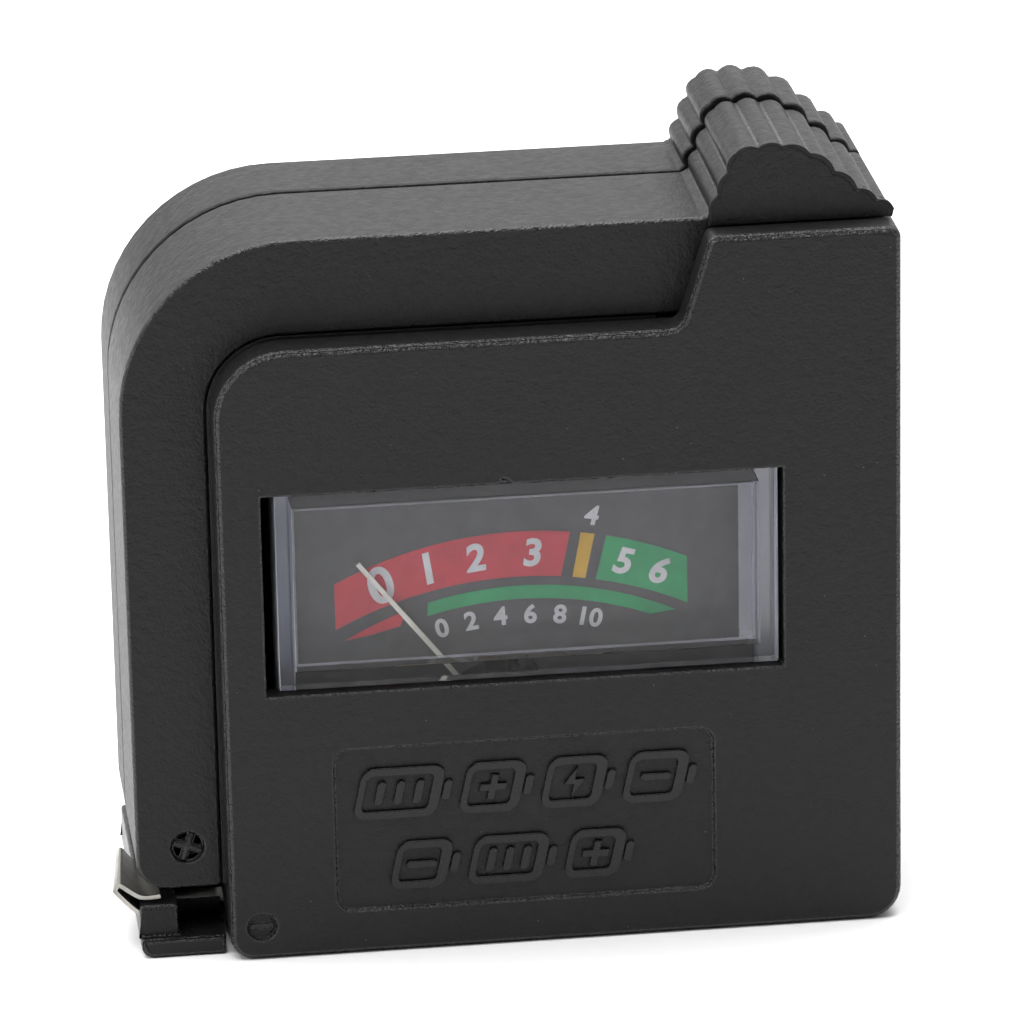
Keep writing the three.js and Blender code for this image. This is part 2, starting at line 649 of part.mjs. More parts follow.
const yokeInner = YOKE_R - 1.0;
const yokeRing = cut(
  rod(PIVOT_X, PIVOT_Z, YOKE_R, -3.9, 0.1, 48),
  rod(PIVOT_X, PIVOT_Z, yokeInner, -5, 1, 48),
);
const lugEnd = yokeInner + 0.3;
const sideEnd = bridgeHalf - 1.65;
const yoke = join(
  yokeRing,
  box(PIVOT_X - 0.7, PIVOT_X + 0.7, -3.9, 0.1, PIVOT_Z + CORE_R + 0.04, PIVOT_Z + lugEnd),
  box(PIVOT_X - 0.7, PIVOT_X + 0.7, -3.9, 0.1, PIVOT_Z - lugEnd, PIVOT_Z - CORE_R - 0.04),
  box(PIVOT_X + lugEnd, PIVOT_X + sideEnd, -3.9, 0.1, PIVOT_Z - 0.9, PIVOT_Z + 0.9),
  box(PIVOT_X - sideEnd, PIVOT_X - lugEnd, -3.9, 0.1, PIVOT_Z - 0.9, PIVOT_Z + 0.9),
);
place("meter_yoke", yoke, IRON);
place("meter_core", rod(PIVOT_X, PIVOT_Z, CORE_R, -4.2, 0.2, 40), IRON);

let bridge = join(
  prism(rounded([
    [PIVOT_X - bridgeHalf, PIVOT_Z - 1.1, 0.5], [PIVOT_X + bridgeHalf, PIVOT_Z - 1.1, 0.5],
    [PIVOT_X + bridgeHalf, PIVOT_Z + 1.1, 0.5], [PIVOT_X - bridgeHalf, PIVOT_Z + 1.1, 0.5],
  ]), -7.1, -6.5),
  box(PIVOT_X + 2.6, PIVOT_X + 3.0, -6.6, -4.95, PIVOT_Z - 0.3, PIVOT_Z + 0.3),
);
bridge = cut(bridge, rod(PIVOT_X, PIVOT_Z, 0.66, -8, -6, 16));
place("meter_bridge", bridge, BRASS);
place("front_jewel_screw", rod(PIVOT_X, PIVOT_Z, 0.62, -7.7, -6.26, 16), BRASS);
place("rear_jewel_screw", rod(PIVOT_X, PIVOT_Z, 0.82, floorY - 0.1, METER_BACK_Y + 0.7, 16), BRASS);
for (const [i, name] of ["meter_terminal_left", "meter_terminal_right"].entries()) {
  place(name, rod(terminalX[i], terminalZ, 0.52, floorY - 0.7, METER_BACK_Y + 2.1, 16), BRASS);
}

// ---- needle and moving coil --------------------------------------------------------------

const moving = new THREE.Group();
moving.position.set(PIVOT_X, 0, PIVOT_Z);
moving.rotation.y = -THREE.MathUtils.degToRad(NEEDLE_REST_DEG);
model.add(moving);

// The needle lies in the plane of local Z and Y: hub, crank forward, then the long pointer.
const needleSide = band(
  [[-5.9, 0.55], [-5.9, 2.3], [-8.3, 3.6], [-8.3, NEEDLE_R]],
  0.24,
);
let needle = join(
  prismX(needleSide, -0.17, 0.17),
  rod(0, 0, 0.95, -6.1, -5.7, 20),
  box(-0.2, 0.2, -6.05, -5.75, -2.6, -0.5),
  box(-0.6, 0.6, -6.1, -5.7, -2.9, -2.2),
);
needle = cut(needle, rod(0, 0, 0.38, -7, -5, 20));
place("needle", needle, NEEDLE_WHITE, moving);

const coilIn = CORE_R + 0.5;
const coilOut = yokeInner - 0.65;
const coil = cut(
  box(-coilOut, coilOut, -4.9, 0.9, -0.35, 0.35),
  box(-coilIn, coilIn, -4.5, 0.5, -2, 2),
);
place("moving_coil", coil, COPPER, moving);
place("front_pivot", rod(0, 0, 0.34, -6.2, -4.94, 16), STEEL, moving);
place("rear_pivot", rod(0, 0, 0.34, 0.94, 1.36, 16), STEEL, moving);

function spiral(r0, r1, turns, turnedBy) {
  const points = [];
  const steps = Math.round(turns * 18);
  for (let i = 0; i <= steps; i += 1) {
    const t = i / steps;
    const a = turnedBy + (t - 1) * turns * 2 * Math.PI;
    const r = r0 + (r1 - r0) * t;
    points.push([r * Math.cos(a), r * Math.sin(a)]);
  }
  return band(points, 0.12);
}
const hairspring = prism(spiral(0.46, 2.5, 3, 0), -5.4, -5.1);
const spring = place("hairspring", hairspring, BRASS);
spring.position.set(PIVOT_X, 0, PIVOT_Z);

// ---- circuit -----------------------------------------------------------------------------

function resistor(x0, x1, y, z, r, reach) {
  const m = (x0 + x1) / 2;
  return join(
    barX(y, z, r, x0, x1, 20),
    barX(y, z, r * 1.12, x0, x0 + r, 20),
    barX(y, z, r * 1.12, x1 - r, x1, 20),
    barX(y, z, 0.3, m - reach, m + reach, 10),
  );
}
const partsY = METER_BACK_Y + 3.9;
const loadX = METER_X0 + 12.9;
const loadZ = METER_Z1 - 7.4;
const seriesX = METER_X0 + 14.65;
const seriesZ = METER_Z1 - 15.4;
place("load_resistor", resistor(loadX - 5, loadX + 5, partsY, loadZ, 1.6, 8.5), RESISTOR);
place("series_resistor", resistor(seriesX - 3.25, seriesX + 3.25, partsY, seriesZ, 1.05, 6.5), RESISTOR);

function wire(points, r) {
  const knots = points.map((p) => new THREE.Vector3(...p));
  const path = new THREE.CatmullRomCurve3(knots, false, "centripetal");
  const section = new THREE.Shape();
  section.absarc(0, 0, r, 0, 2 * Math.PI, false);
  return new THREE.ExtrudeGeometry(section, {
    steps: 36,
    curveSegments: 4,
    extrudePath: path,
    bevelEnabled: false,
  });
}
const railEndX = PARTITION_X0 - 2.75;
const laneX = Math.max(METER_X1 - 3.3, terminalX[1] + 1.3);
place("wire_rail", wire([
  [railEndX, SLOT_FRONT + 0.5, railFoot + 0.75],
  [railEndX + 0.2, -6.0, railFoot + 0.65],
  [railEndX + 0.7, 3.0, 4.5],
  [laneX, partsY - 0.2, METER_Z0 + 8],
  [laneX, partsY, loadZ - 3],
  [loadX + 12.0, partsY, loadZ - 0.6],
  [loadX + 9.0, partsY, loadZ],
], 0.42), RED_WIRE);
place("wire_load", wire([
  [loadX - 9.0, partsY, loadZ], [METER_X0 + 2.5, partsY + 0.2, loadZ - 2.5],
  [METER_X0 + 3.3, partsY + 0.2, seriesZ + 1.0], [seriesX - 6.95, partsY, seriesZ],
], 0.42), RED_WIRE);
place("wire_meter", wire([
  [seriesX + 6.95, partsY, seriesZ], [seriesX + 9.85, partsY, seriesZ - 0.9],
  [terminalX[1], partsY - 0.1, terminalZ + 3], [terminalX[1], METER_BACK_Y + 2.6, terminalZ],
], 0.42), RED_WIRE);
place("wire_negative", wire([
  [WALL + 2.9, tailY + 1, tailZ + 0.15],
  [WALL + 4.2, -2.0, tailZ + 0.4],
  [WALL + 4.0, 3.0, 6.0],
  [METER_X0 + 3.9, METER_BACK_Y + 2.6, terminalZ - 1.5],
  [terminalX[0] - 0.7, METER_BACK_Y + 2.6, terminalZ],
], 0.42), BLACK_WIRE);

export default tester;
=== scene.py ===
"""Looks of a pocket battery tester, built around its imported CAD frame.

Everything is in metres in the assembly's frame: +X right, +Y back, +Z up.
"""

import json
import math

import bmesh
import bpy
from mathutils import Matrix, Vector


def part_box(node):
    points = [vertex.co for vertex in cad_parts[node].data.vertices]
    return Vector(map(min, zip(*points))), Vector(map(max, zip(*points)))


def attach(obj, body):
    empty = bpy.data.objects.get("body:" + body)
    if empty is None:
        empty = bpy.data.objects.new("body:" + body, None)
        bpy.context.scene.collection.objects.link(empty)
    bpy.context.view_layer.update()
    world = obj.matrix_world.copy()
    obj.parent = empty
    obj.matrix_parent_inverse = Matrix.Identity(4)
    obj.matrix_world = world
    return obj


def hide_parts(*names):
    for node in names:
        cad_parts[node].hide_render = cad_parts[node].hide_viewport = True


MM = 0.001

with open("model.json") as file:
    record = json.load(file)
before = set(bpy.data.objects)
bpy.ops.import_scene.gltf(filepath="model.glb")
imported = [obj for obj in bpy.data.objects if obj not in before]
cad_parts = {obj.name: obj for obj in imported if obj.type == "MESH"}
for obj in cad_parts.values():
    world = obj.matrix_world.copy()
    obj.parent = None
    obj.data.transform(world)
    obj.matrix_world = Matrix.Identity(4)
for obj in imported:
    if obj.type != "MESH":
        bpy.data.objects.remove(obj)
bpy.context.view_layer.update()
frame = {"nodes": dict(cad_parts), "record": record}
nodes = frame["nodes"]

# ---- camera ------------------------------------------------------------------------------

CAMERA_AZIMUTH = math.radians(-6.61)
CAMERA_ELEVATION = math.radians(20.03)
CAMERA_ROLL = math.radians(-1.14)
CAMERA_PLACE = Vector((-53.09, -475.19, 202.88)) * MM
CAMERA_LENS = 248.72


def photo_camera():
    """The camera at the photo's viewing angle, from a fit of the object's outline to the photo."""
    backward = Vector(
        (
            math.sin(CAMERA_AZIMUTH) * math.cos(CAMERA_ELEVATION),
            -math.cos(CAMERA_AZIMUTH) * math.cos(CAMERA_ELEVATION),
            math.sin(CAMERA_ELEVATION),
        )
    )
    level = Vector((0, 0, 1)).cross(backward).normalized()
    upright = backward.cross(level)
    across = level * math.cos(CAMERA_ROLL) + upright * math.sin(CAMERA_ROLL)
    upward = upright * math.cos(CAMERA_ROLL) - level * math.sin(CAMERA_ROLL)
    turn = Matrix((across, upward, backward)).transposed()
    data = bpy.data.cameras.new("camera")
    data.sensor_width = 36
    data.lens = CAMERA_LENS
    data.clip_start = 0.01
    data.clip_end = 20
    camera = bpy.data.objects.new("camera", data)
    bpy.context.scene.collection.objects.link(camera)
    camera.matrix_world = Matrix.Translation(CAMERA_PLACE) @ turn.to_4x4()
    bpy.context.scene.camera = camera


photo_camera()

# ---- material helpers --------------------------------------------------------------------


class Nodes:
    """A short way to write a shader's nodes."""

    def __init__(self, name):
        self.material = bpy.data.materials.new(name)
        self.material.use_nodes = True
        self.tree = self.material.node_tree
        self.tree.nodes.clear()
        self.output = self.add("ShaderNodeOutputMaterial")

    def add(self, kind, **inputs):
        """A new node. i0, i1 and so on name a socket by its number, and other keys by its label."""
        settings = inputs.pop("settings", {})
        made = self.tree.nodes.new(kind)
        for key, value in settings.items():
            setattr(made, key, value)
        for key, value in inputs.items():
            if key[0] == "i" and key[1:].isdigit():
                socket = made.inputs[int(key[1:])]
            else:
                socket = made.inputs[key.replace("_", " ")]
            if isinstance(value, bpy.types.NodeSocket):
                self.tree.links.new(value, socket)
            else:
                socket.default_value = value
        return made

    def math(self, operation, a, b):
        made = self.add("ShaderNodeMath", i0=a, i1=b, settings={"operation": operation})
        return made.outputs[0]

    def mix(self, factor, a, b):
        made = self.add("ShaderNodeMix", settings={"data_type": "RGBA"}, i0=factor, i6=a, i7=b)
        return made.outputs[2]

    def ramp(self, value, low, high, to_low=0.0, to_high=1.0):
        made = self.add("ShaderNodeMapRange", i0=value, i1=low, i2=high, i3=to_low, i4=to_high)
        return made.outputs[0]

    def place(self):
        return self.add("ShaderNodeTexCoord").outputs["Object"]

    def noise(self, scale, detail=3.0, roughness=0.55, place=None):
        made = self.add(
            "ShaderNodeTexNoise",
            Vector=place or self.place(),
            Scale=scale,
            Detail=detail,
            Roughness=roughness,
        )
        return made.outputs[0]

    def cells(self, scale):
        return self.add("ShaderNodeTexVoronoi", Vector=self.place(), Scale=scale)

    def bump(self, height, strength, distance):
        return self.add("ShaderNodeBump", Height=height, Strength=strength, Distance=distance).outputs[0]

    def finish(self, shader):
        self.tree.links.new(shader.outputs[0], self.output.inputs[0])
        return self.material


def grey(value):
    return (value, value, value, 1)


def tinted(base, share):
    """The base colour made lighter or darker by a share."""
    return tuple(c * share for c in base) + (1,)


# The plastic's detail, as noise scales per metre: fine and middle grain, broad clouds, and the
# cells that hold dust specks. A speck shows in the cells whose random value is over the limit.
FINE_GRAIN = 5200
MIDDLE_GRAIN = 1500
BROAD_CLOUDS = 140
SPECK_CELLS = 1050
SPECK_LIMIT = 0.78
SPECK_CORE = 0.03
SPECK_RIM = 0.07
SPECK_TONE = grey(0.32)


def plastic(name, base, rough, grain, ior=1.42, dust=0.22, pebble=0.35, depth=0.06):
    """Matte moulded plastic: fine grain in the bump, cloudy gloss and sparse pale specks."""
    n = Nodes(name)
    fine = n.noise(FINE_GRAIN, 2)
    middle = n.noise(MIDDLE_GRAIN, 3)
    broad = n.noise(BROAD_CLOUDS, 4)
    specks = n.cells(SPECK_CELLS)
    near = n.ramp(specks.outputs["Distance"], SPECK_CORE, SPECK_RIM, 1, 0)
    draw = n.add("ShaderNodeSeparateColor", Color=specks.outputs["Color"]).outputs[0]
    speck = n.math("MULTIPLY", near, n.math("GREATER_THAN", draw, SPECK_LIMIT))
    tone = n.mix(n.ramp(fine, 0.3, 0.7), tinted(base, 0.8), tinted(base, 1.2))
    tone = n.mix(n.ramp(broad, 0.35, 0.65, 0, 0.5), tone, tinted(base, 1.25))
    tone = n.mix(n.math("MULTIPLY", speck, dust), tone, SPECK_TONE)
    cloudy = n.ramp(middle, 0.3, 0.7, rough - 0.05, rough + 0.06)
    height = n.math("ADD", n.math("MULTIPLY", fine, pebble), middle)
    shader = n.add(
        "ShaderNodeBsdfPrincipled",
        Base_Color=tone,
        Roughness=n.math("ADD", cloudy, n.math("MULTIPLY", speck, 0.2)),
        IOR=ior,
        Normal=n.bump(height, grain, depth * MM),
    )
    return n.finish(shader)


def metal(name, base, rough, scale=(1, 1, 1), spots=0.15):
    """Plated or plain metal with drawn streaks, faint stains and small marks."""
    n = Nodes(name)
    stretched = n.add("ShaderNodeMapping", Vector=n.place(), Scale=scale).outputs[0]
    streaks = n.noise(2400, 4, 0.6, stretched)
    cloud = n.noise(320, 4)
    tone = n.mix(n.ramp(cloud, 0.35, 0.7, 0, spots * 2), base + (1,), tinted(base, 0.62))
    drawn = n.ramp(streaks, 0.3, 0.7, rough - 0.06, rough + 0.1)
    gloss = n.math("ADD", drawn, n.ramp(cloud, 0.4, 0.7, 0, spots))
    shader = n.add(
        "ShaderNodeBsdfPrincipled",
        Base_Color=tone,
        Metallic=1.0,
        Roughness=gloss,
        Normal=n.bump(streaks, 0.3, 0.02 * MM),
    )
    return n.finish(shader)


def paint(name, base, rough, grain=0.15, scale=6000):
    """Printed ink or paint with a little unevenness."""
    n = Nodes(name)
    cloud = n.noise(700, 4)
    fine = n.noise(scale, 2)
    shader = n.add(
        "ShaderNodeBsdfPrincipled",
        Base_Color=n.mix(n.ramp(cloud, 0.3, 0.7), tinted(base, 0.88), tinted(base, 1.12)),
        Roughness=n.ramp(fine, 0.3, 0.7, rough - 0.06, rough + 0.06),
        Normal=n.bump(fine, grain, 0.02 * MM),
    )
    return n.finish(shader)


# Lower than real acrylic's, so that the window mirrors as little of the room as in the photo.
WINDOW_IOR = 1.27


def clear(name, share=1.0, pass_share=1.0):
    """Moulded acrylic with the faintest waves: how bright its tint is, and how much light passes."""
    n = Nodes(name)
    wave = n.noise(90, 2)
    haze = n.ramp(n.noise(60, 2), 0.3, 0.7, 0.0, 0.015)
    shader = n.add(
        "ShaderNodeBsdfPrincipled",
        Base_Color=n.mix(n.ramp(wave, 0.3, 0.7), tinted((0.94, 0.94, 0.98), share), grey(0.98 * share)),
        Roughness=haze,
        IOR=WINDOW_IOR,
    )
    shader.inputs["Transmission Weight"].default_value = pass_share
    return n.finish(shader)


BLACK = plastic(
    "black_plastic", (0.0078, 0.0075, 0.0079), 0.5, 1.0, ior=1.34, dust=0.3, pebble=0.8, depth=0.07
)
ARM_BLACK = plastic(
    "black_plastic_arm", (0.0062, 0.0060, 0.0064), 0.45, 0.9, ior=1.33, pebble=0.7, depth=0.08
)
# Edges rubbed smooth shine more than the faces beside them.
WORN = plastic("black_plastic_worn", (0.010, 0.010, 0.0105), 0.27, 1.0, ior=1.47, pebble=1.3, depth=0.13)
ARM_WORN = plastic(
    "black_plastic_arm_worn", (0.009, 0.009, 0.0095), 0.3, 1.0, ior=1.44, pebble=1.2, depth=0.08
)
MARK = plastic("black_plastic_mark", (0.0045, 0.0045, 0.005), 0.26, 0.5, ior=1.36)
FOOT = plastic("black_plastic_foot", (0.0060, 0.0058, 0.0062), 0.3, 0.6, ior=1.31)
GREY = plastic("grey_plastic", (0.05, 0.05, 0.055), 0.55, 0.3, dust=0.2)
DIAL = paint("dial_print", (0.085, 0.083, 0.086), 0.7, grain=0.0, scale=900)
CLEAR = clear("clear_acrylic")
NICKEL = metal("nickel_strip", (0.40, 0.39, 0.36), 0.27, scale=(1, 6, 1), spots=0.25)
STEEL = metal("zinc_steel", (0.47, 0.47, 0.48), 0.34)
BRASS = metal("brass", (0.60, 0.43, 0.19), 0.3)
COPPER = metal("copper_winding", (0.55, 0.25, 0.13), 0.36, scale=(1, 12, 1))
IRON = metal("soft_iron", (0.17, 0.17, 0.18), 0.5)
NEEDLE = paint("needle_paint", (0.72, 0.70, 0.64), 0.5)
RESISTOR = paint("resistor_lacquer", (0.45, 0.35, 0.23), 0.45)
RED_WIRE = paint("red_insulation", (0.40, 0.03, 0.02), 0.4)
BLACK_WIRE = paint("black_insulation", (0.016, 0.016, 0.017), 0.4)

FINISHES = {
    "black_plastic": BLACK,
    "grey_plastic": GREY,
    "clear_plastic": CLEAR,
    "dial": DIAL,
    "nickel": NICKEL,
    "steel": STEEL,
    "brass": BRASS,
    "copper": COPPER,
    "soft_iron": IRON,
    "needle_white": NEEDLE,
    "resistor_body": RESISTOR,
    "red_wire": RED_WIRE,
    "black_wire": BLACK_WIRE,
}

for part in frame["record"]["subparts"]:
    mesh = nodes[part["node"]].data
    mesh.materials.clear()
    mesh.materials.append(FINISHES[part["material_slot"]])

# ---- the CAD nodes' edges and faces ------------------------------------------------------

# Edges sharper than this many degrees are rounded. The indices are places in a node's materials.
EDGE_ANGLE = 24
WORN_INDEX = 1
FOOT_INDEX = 2


def soften(name, width, segments=2, worn=None):
    """Rounds a CAD node's edges with modifiers; its own mesh stays as it is."""
    o = nodes[name]
    if worn:
        o.data.materials.append(worn)
    weld = o.modifiers.new("weld", "WELD")
    weld.merge_threshold = 0.002 * MM
    flat = o.modifiers.new("flat", "DECIMATE")
    flat.decimate_type = "DISSOLVE"
    flat.angle_limit = math.radians(0.6)
    flat.delimit = {"MATERIAL"}
    bevel = o.modifiers.new("bevel", "BEVEL")
    bevel.width = width * MM
    bevel.segments = segments
    bevel.limit_method = "ANGLE"
    bevel.angle_limit = math.radians(EDGE_ANGLE)
    bevel.use_clamp_overlap = False
    if worn:
        bevel.material = WORN_INDEX
    even = o.modifiers.new("even", "WEIGHTED_NORMAL")
    even.weight = 100
    o.data.shade_smooth()


def foot_faces():
    """The foot is part of the back cover, and is glossier than it."""
    mesh = nodes["back_cover"].data
    mesh.materials.append(FOOT)
    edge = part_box("front_cover")[0].x - 0.2 * MM
    for face in mesh.polygons:
        if all(mesh.vertices[v].co.x < edge for v in face.vertices):
            face.material_index = FOOT_INDEX


def worn_chamfers(name):
    """The chamfers lean back from the front face, and are rubbed as the edges are."""
    for face in nodes[name].data.polygons:
        if -0.95 < face.normal.y < -0.3:
            face.material_index = WORN_INDEX


for name in ("arm_front_shell", "arm_rear_shell"):
    nodes[name].data.materials[0] = ARM_BLACK
# The positive contact's nickel is darkened as painted shade of the recess under the arm's leg.
nodes["positive_contact"].data.materials[0] = metal("nickel_painted_shade", (0.15, 0.145, 0.13), 0.42, spots=0.3)
for name in ("front_cover", "back_cover"):
    soften(name, 0.15, 3, WORN)
foot_faces()
soften("arm_front_shell", 0.14, 3, ARM_WORN)
soften("arm_rear_shell", 0.06)
for name in ("front_cover", "arm_front_shell"):
    worn_chamfers(name)

# A face is turned one way when its normal's share along it is over the limit. The rim is how far
# in from the window's edges its walls reach, and the sill how far up from its foot.
FACING = 0.8
RIM = 1.3 * MM
SILL = 2 * MM


def frost_window():
    """The window's side faces are moulded and scatter light. Its top faces are darkened as painted
    shade, and its sill is darker and lets less light through.
    """
    low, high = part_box("meter_window")
    n = Nodes("frosted_acrylic")
    cloud = n.noise(500, 4)
    stretched = n.add("ShaderNodeMapping", Vector=n.place(), Scale=(0.02, 1, 0.02)).outputs[0]
    lines = n.noise(1600, 1, 0.5, stretched)
    shader = n.add(
        "ShaderNodeBsdfPrincipled",
        Base_Color=n.mix(n.ramp(lines, 0.42, 0.56), (0.58, 0.60, 0.70, 1), (0.96, 0.97, 1.0, 1)),
        Roughness=n.ramp(cloud, 0.3, 0.7, 0.35, 0.6),
    )
    mesh = nodes["meter_window"].data
    mesh.materials.append(n.finish(shader))
    # The darker copy of clear acrylic on the top faces is painted shade.
    mesh.materials.append(clear("acrylic_painted_shade", 0.6))
    mesh.materials.append(clear("sill_acrylic", 0.75, 0.72))
    frosted, painted_shade_top, sill = 1, 2, 3
    for face in mesh.polygons:
        at = face.center
        side = at.x < low.x + RIM or at.x > high.x - RIM
        outward = abs(face.normal.x) > FACING or face.normal.y > FACING
        if side and outward:
            face.material_index = frosted
        elif face.normal.z > FACING and at.z > high.z - RIM:
            face.material_index = painted_shade_top
        elif face.normal.z > FACING and at.z < low.z + SILL:
            face.material_index = sill


frost_window()
soften("meter_window", 0.1)

# ---- mesh helpers ------------------------------------------------------------------------

panel_low, panel_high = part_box("front_cover")
lens_low, lens_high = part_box("meter_window")
strip_low, strip_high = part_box("negative_contact")


def keep(name, mesh, material, body):
    """Links a finished mesh as a piece that rides on a body and takes its finish from a slot."""
    mesh.name = name
    mesh.materials.clear()
    mesh.materials.append(material)
    o = bpy.data.objects.new(name, mesh)
    bpy.context.scene.collection.objects.link(o)
    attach(o, body)
    return o


def baked(data, matrix):
    """The mesh of a curve or text, placed by a matrix."""
    o = bpy.data.objects.new("source", data)
    bpy.context.scene.collection.objects.link(o)
    bpy.context.view_layer.update()
    depsgraph = bpy.context.evaluated_depsgraph_get()
    mesh = bpy.data.meshes.new_from_object(o.evaluated_get(depsgraph))
    bpy.data.objects.remove(o)
    mesh.transform(matrix)
    return mesh


def facing(x, y, z, turn=0.0):
    """Puts a drawing in the XY plane upright, facing the front, at a place in the frame."""
    stand = Matrix(((1, 0, 0, 0), (0, 0, -1, 0), (0, 1, 0, 0), (0, 0, 0, 1)))
    return Matrix.Translation((x, y, z)) @ stand @ Matrix.Rotation(turn, 4, "Z")


def relief(name, outlines, thickness, edge, matrix, material, body):
    """A flat shape from closed outlines in millimetres, holes included, with a small rounded edge."""
    data = bpy.data.curves.new(name, "CURVE")
    data.dimensions = "2D"
    data.fill_mode = "BOTH"
    data.extrude = (thickness / 2 - edge) * MM
    data.bevel_depth = edge * MM
    data.bevel_resolution = 2
    data.offset = -edge * MM
    for outline in outlines:
        spline = data.splines.new("POLY")
        spline.points.add(len(outline) - 1)
        for point, (x, z) in zip(spline.points, outline):
            point.co = (x * MM, z * MM, 0, 1)
        spline.use_cyclic_u = True
    return keep(name, baked(data, matrix), material, body)


def arc(cx, cz, radius, start, end, steps=32):
    """Points along an arc. Angles in degrees, clockwise from straight up."""
    out = []
    for i in range(steps + 1):
        a = math.radians(start + (end - start) * i / steps)
        out.append((cx + radius * math.sin(a), cz + radius * math.cos(a)))
    return out


def round_box(x0, z0, x1, z1, radius, lean=0.0):
    """A rectangle with rounded corners, leaning to the right by a share of its height."""
    out = []
    for cx, cz, start in (
        (x1 - radius, z1 - radius, 0),
        (x1 - radius, z0 + radius, 90),
        (x0 + radius, z0 + radius, 180),
        (x0 + radius, z1 - radius, 270),
    ):
        out += arc(cx, cz, radius, start, start + 90, 5)
    return [(x + lean * (z - z0), z) for x, z in out]


# ---- dial --------------------------------------------------------------------------------

# Places on the dial are in millimetres from the panel's left edge and from its foot.
PANEL_X = panel_low.x
DIAL_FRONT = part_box("dial_plate")[0].y

INK_RED = paint("ink_red", (0.52, 0.030, 0.050), 0.5, grain=0.0, scale=900)
INK_YELLOW = paint("ink_yellow", (0.60, 0.36, 0.030), 0.5, grain=0.0, scale=900)
INK_GREEN = paint("ink_green", (0.012, 0.30, 0.105), 0.5, grain=0.0, scale=900)
INK_WHITE = paint("ink_white", (0.62, 0.62, 0.64), 0.5, grain=0.0, scale=900)

# The thickness of a printed layer, and the least gap between two layers.
INK = 0.02
INK_GAP = 0.001

# Each arc on the dial: its centre across, its centre up, and its radius.
SCALE_OUTER = (21.65, 1.00, 28.86)
SCALE_INNER = (21.59, -1.82, 28.27)
LOWER_OUTER = (21.82, 0.45, 25.32)
LOWER_INNER = (21.77, -0.87, 25.63)


def printed(name, outline, material):
    """An inked shape on the dial."""
    depth = DIAL_FRONT - (INK / 2 + INK_GAP) * MM
    relief(name, [outline], INK, 0.004, facing(PANEL_X, depth, 0), material, "body")


printed("dial_band_red", arc(*SCALE_OUTER, -27.2, 7.4) + arc(*SCALE_INNER, 6.2, -27.6), INK_RED)
printed("dial_band_yellow", arc(*SCALE_OUTER, 8.9, 10.9, 6) + arc(*SCALE_INNER, 9.8, 7.9, 6), INK_YELLOW)
printed("dial_band_green", arc(*SCALE_OUTER, 12.6, 24.7) + arc(*SCALE_INNER, 25.4, 11.3), INK_GREEN)
lower_green = arc(*LOWER_OUTER, -15.4, 25.8) + arc(*LOWER_INNER, 21.2, -15.2)
printed("dial_arc_green", lower_green, INK_GREEN)
printed("dial_arc_red", arc(*LOWER_OUTER, -30.0, -19.0) + [(13.1, 23.25), (11.2, 22.75)], INK_RED)


def number(name, text, x, z, height, lean, turn, bold):
    """A number printed on the dial, over the inked shapes."""
    data = bpy.data.curves.new(name, "FONT")
    data.body = text
    data.size = height * 1.4 * MM
    data.align_x = "CENTER"
    data.align_y = "CENTER"
    data.shear = lean
    data.extrude = INK / 2 * MM
    data.offset = bold * MM
    data.resolution_u = 6
    depth = DIAL_FRONT - (INK * 2 + INK_GAP * 2) * MM
    place = facing(PANEL_X + x * MM, depth, z * MM, turn)
    return keep(name, baked(data, place), INK_WHITE, "body")


def along(circle, angle, lift):
    """A place at an angle along an arc, lifted out from it, and the turn that stands a number on it."""
    cx, cz, radius = circle
    a = math.radians(angle)
    return cx + (radius + lift) * math.sin(a), cz + (radius + lift) * math.cos(a), -a


# Each number on the bands: its text, its angle along the scale and its height.
BAND_NUMBERS = (
    ("0", -21.5, 2.7),
    ("1", -14.0, 2.3),
    ("2", -6.6, 2.0),
    ("3", 2.0, 2.0),
    ("5", 15.9, 1.9),
    ("6", 21.6, 1.9),
)
for i, (text, angle, height) in enumerate(BAND_NUMBERS):
    x, z, turned = along(SCALE_OUTER, angle, -1.72)
    number("dial_number_" + str(i), text, x, z, height, 0.1, turned, 0.09)
x, z, turned = along(SCALE_OUTER, 10.0, 1.3)
number("dial_number_6", "4", x, z, 1.4, 0.08, turned, 0.06)
for i in range(6):
    x, z, turned = along(LOWER_INNER, -13.5 + i * 5.0, -1.25)
    number("dial_lower_" + str(i), str(i * 2), x, z, 1.35, 0.0, turned, 0.06)

# ---- raised marks in the tray ------------------------------------------------------------

TRAY_FLOOR = panel_low.y + 0.3 * MM
MARK_RAISE = 0.28
LEAN = 0.22


def stroke(x0, z0, x1, z1, width):
    """A round-ended bar between two points."""
    heading = math.degrees(math.atan2(x1 - x0, z1 - z0))
    r = width / 2
    return arc(x1, z1, r, heading - 90, heading + 90, 8) + arc(x0, z0, r, heading + 90, heading + 270, 8)


def tray_mark(name, outlines, x, z):
    """A raised mark on the tray's floor."""
    depth = TRAY_FLOOR - (MARK_RAISE / 2 - 0.01) * MM
    place = facing(PANEL_X + x * MM, depth, z * MM)
    relief(name, outlines, MARK_RAISE, 0.06, place, MARK, "body")


